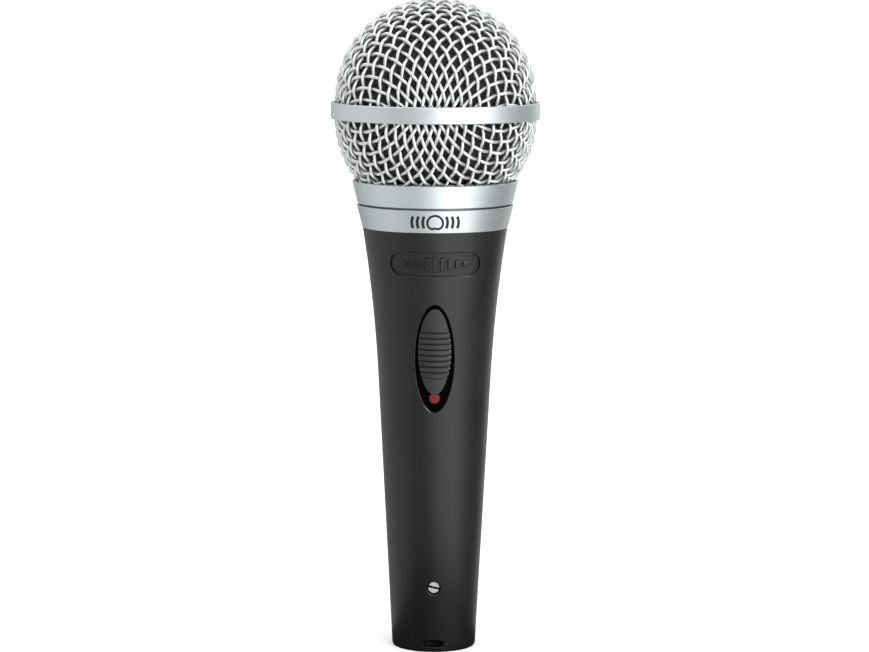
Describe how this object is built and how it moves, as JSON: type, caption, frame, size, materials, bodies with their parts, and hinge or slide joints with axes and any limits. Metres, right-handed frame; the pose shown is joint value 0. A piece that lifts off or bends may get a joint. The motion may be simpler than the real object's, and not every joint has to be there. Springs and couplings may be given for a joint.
{
  "type": "handheld dynamic vocal microphone",
  "caption": "Handheld vocal microphone: tapered dark handle with an oval slide switch, two silver bands and a round woven wire grille with an equator ring.",
  "frame": {"origin": "centre of the rim of the handle, at the connector end", "axes": "+Z along the handle to the top of the grille, -Y out of the front with the switch, +X to the right seen from the front"},
  "size_m": [0.053, 0.053, 0.166],
  "materials": {
    "handle_enamel": "satin",
    "silver_enamel": "satin",
    "seat_metal": "satin",
    "mesh_wire": "satin",
    "foam": "matte",
    "black_plastic": "matte",
    "button_plastic": "satin",
    "insert_plastic": "satin",
    "cloth": "matte",
    "film": "gloss",
    "copper_wire": "polished",
    "plated_steel": "satin",
    "magnet_alloy": "satin",
    "chamber_metal": "satin",
    "fibre_board": "matte",
    "brass_contact": "polished",
    "rubber_black": "matte",
    "red_dot": "gloss",
    "nickel_screw": "polished",
    "pin_silver": "polished",
    "wire_red": "satin",
    "wire_white": "satin",
    "wire_black": "satin"
  },
  "bodies": {
    "handle": {"handle_body": "handle_enamel", "name_band": "silver_enamel", "threaded_seat": "seat_metal", "switch_plate": "black_plastic", "status_dot": "red_dot", "switch_case": "plated_steel", "switch_terminals": "brass_contact", "xlr_insert": "insert_plastic", "screw_bush": "brass_contact", "set_screw": "nickel_screw", "xlr_pin_1": "pin_silver", "xlr_pin_2": "pin_silver", "xlr_pin_3": "pin_silver", "shock_mount": "rubber_black", "wire_hot": "wire_red", "wire_cold": "wire_white", "wire_ground": "wire_black"},
    "liner": {"foam_liner": "foam"},
    "grille": {"grille_dome": "mesh_wire", "grille_bowl": "mesh_wire", "grille_band": "silver_enamel", "grille_collar": "silver_enamel", "grille_clamp_ring": "seat_metal"},
    "switch": {"switch_button": "button_plastic", "switch_actuator": "black_plastic"},
    "capsule": {"resonator_cap": "black_plastic", "resonator_cloth": "cloth", "cartridge_housing": "black_plastic", "diaphragm": "film", "top_plate": "plated_steel", "pole_piece": "plated_steel", "magnet": "magnet_alloy", "yoke": "plated_steel", "rear_chamber": "chamber_metal", "damping_felt": "cloth", "terminal_board": "fibre_board", "cartridge_lugs": "brass_contact"},
    "moving_coil": {"voice_coil": "copper_wire", "coil_former": "film"}
  },
  "joints": [
    {"name": "grille_rise", "type": "slide", "parent": "handle", "child": "liner", "axis": [0, 0, 1], "range_m": [0, 0.00375]},
    {"name": "grille_turn", "type": "hinge", "parent": "liner", "child": "grille", "pos_m": [0, 0, 0.1375], "axis": [0, 0, 1], "range_deg": [0, 1080]},
    {"name": "switch_slide", "type": "slide", "parent": "handle", "child": "switch", "axis": [0, 0.0727, -0.9974], "range_m": [0, 0.0037]},
    {"name": "capsule_float", "type": "slide", "parent": "handle", "child": "capsule", "axis": [0, 0, 1], "range_m": [-0.0006, 0.0006], "stiffness_N_per_m": 6000, "deforming": ["shock_mount", "wire_hot", "wire_cold"]},
    {"name": "coil_travel", "type": "slide", "parent": "capsule", "child": "moving_coil", "axis": [0, 0, 1], "range_m": [-0.0002, 0.0002], "stiffness_N_per_m": 100, "deforming": ["diaphragm"]}
  ],
  "couplings": [
    {"joint": "grille_rise", "follows": "grille_turn", "m_per_rad": 0.00019894}
  ]
}
